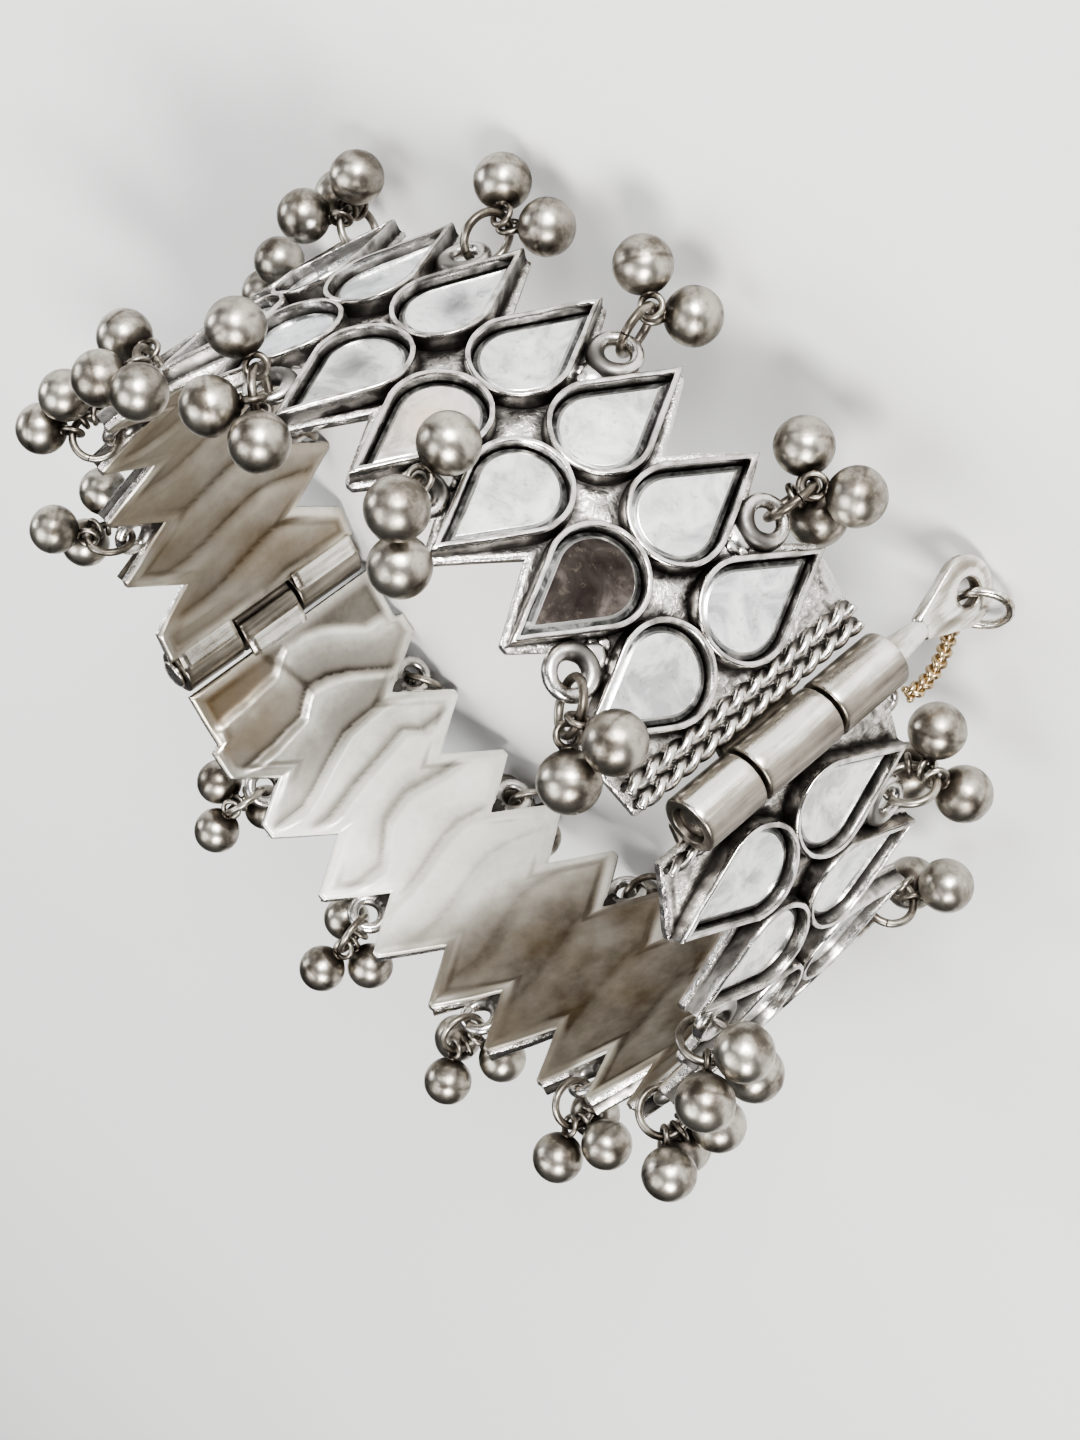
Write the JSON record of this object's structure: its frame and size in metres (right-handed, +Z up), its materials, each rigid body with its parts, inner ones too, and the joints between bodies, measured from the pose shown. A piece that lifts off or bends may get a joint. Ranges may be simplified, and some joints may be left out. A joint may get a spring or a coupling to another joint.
{
  "type": "oxidised silver bangle",
  "caption": "Openable folk bangle of two hinged halves set with drop mirrors, closed by a pulled pin on a short chain, with bead danglers on both rims.",
  "frame": {"origin": "middle of the box that holds the whole bangle, on the surface that it lies on", "axes": "+Z up from the surface; +X towards the clasp, with the hinge at -X; the bangle lies on its side, its own axis leaning 9.1 degrees from +Z towards -X"},
  "size_m": [0.0744, 0.0741, 0.0356],
  "materials": {
    "oxidised_silver": "antique silver with dark oxidised recesses and bright worn edges",
    "satin_silver": "satin silver tube and pin, worn bright, with dark ends",
    "bead_metal": "satin oxidised beads and rings",
    "chain_metal": "dull warm braided chain",
    "mirror_glass": "silvered glass, slightly milky, with a bevelled edge"
  },
  "bodies": {
    "root": {"half_front": "oxidised_silver", "half_back": "oxidised_silver", "hinge_pin": "satin_silver", "clasp_pin": "satin_silver", "clasp_ring": "satin_silver", "safety_chain": "chain_metal", "mirrors_front_01": "mirror_glass", "mirrors_front_02": "mirror_glass", "mirrors_front_03": "mirror_glass", "mirrors_front_04": "mirror_glass", "mirrors_front_05": "mirror_glass", "mirrors_front_06": "mirror_glass", "mirrors_front_07": "mirror_glass", "mirrors_front_08": "mirror_glass", "mirrors_front_09": "mirror_glass", "mirrors_front_10": "mirror_glass", "mirrors_front_11": "mirror_glass", "mirrors_front_12": "mirror_glass", "mirrors_back_01": "mirror_glass", "mirrors_back_02": "mirror_glass", "mirrors_back_03": "mirror_glass", "mirrors_back_04": "mirror_glass", "mirrors_back_05": "mirror_glass", "mirrors_back_06": "mirror_glass", "mirrors_back_07": "mirror_glass", "mirrors_back_08": "mirror_glass", "mirrors_back_09": "mirror_glass", "mirrors_back_10": "mirror_glass", "mirrors_back_11": "mirror_glass", "mirrors_back_12": "mirror_glass", "mirrors_back_13": "mirror_glass", "dangler_upper_01": "bead_metal", "dangler_upper_02": "bead_metal", "dangler_upper_03": "bead_metal", "dangler_upper_04": "bead_metal", "dangler_upper_05": "bead_metal", "dangler_upper_06": "bead_metal", "dangler_upper_07": "bead_metal", "dangler_upper_08": "bead_metal", "dangler_upper_09": "bead_metal", "dangler_upper_10": "bead_metal", "dangler_upper_11": "bead_metal", "dangler_upper_12": "bead_metal", "dangler_lower_01": "bead_metal", "dangler_lower_02": "bead_metal", "dangler_lower_03": "bead_metal", "dangler_lower_04": "bead_metal", "dangler_lower_05": "bead_metal", "dangler_lower_06": "bead_metal", "dangler_lower_07": "bead_metal", "dangler_lower_08": "bead_metal", "dangler_lower_09": "bead_metal", "dangler_lower_10": "bead_metal", "dangler_lower_11": "bead_metal", "dangler_lower_12": "bead_metal"}
  },
  "joints": []
}
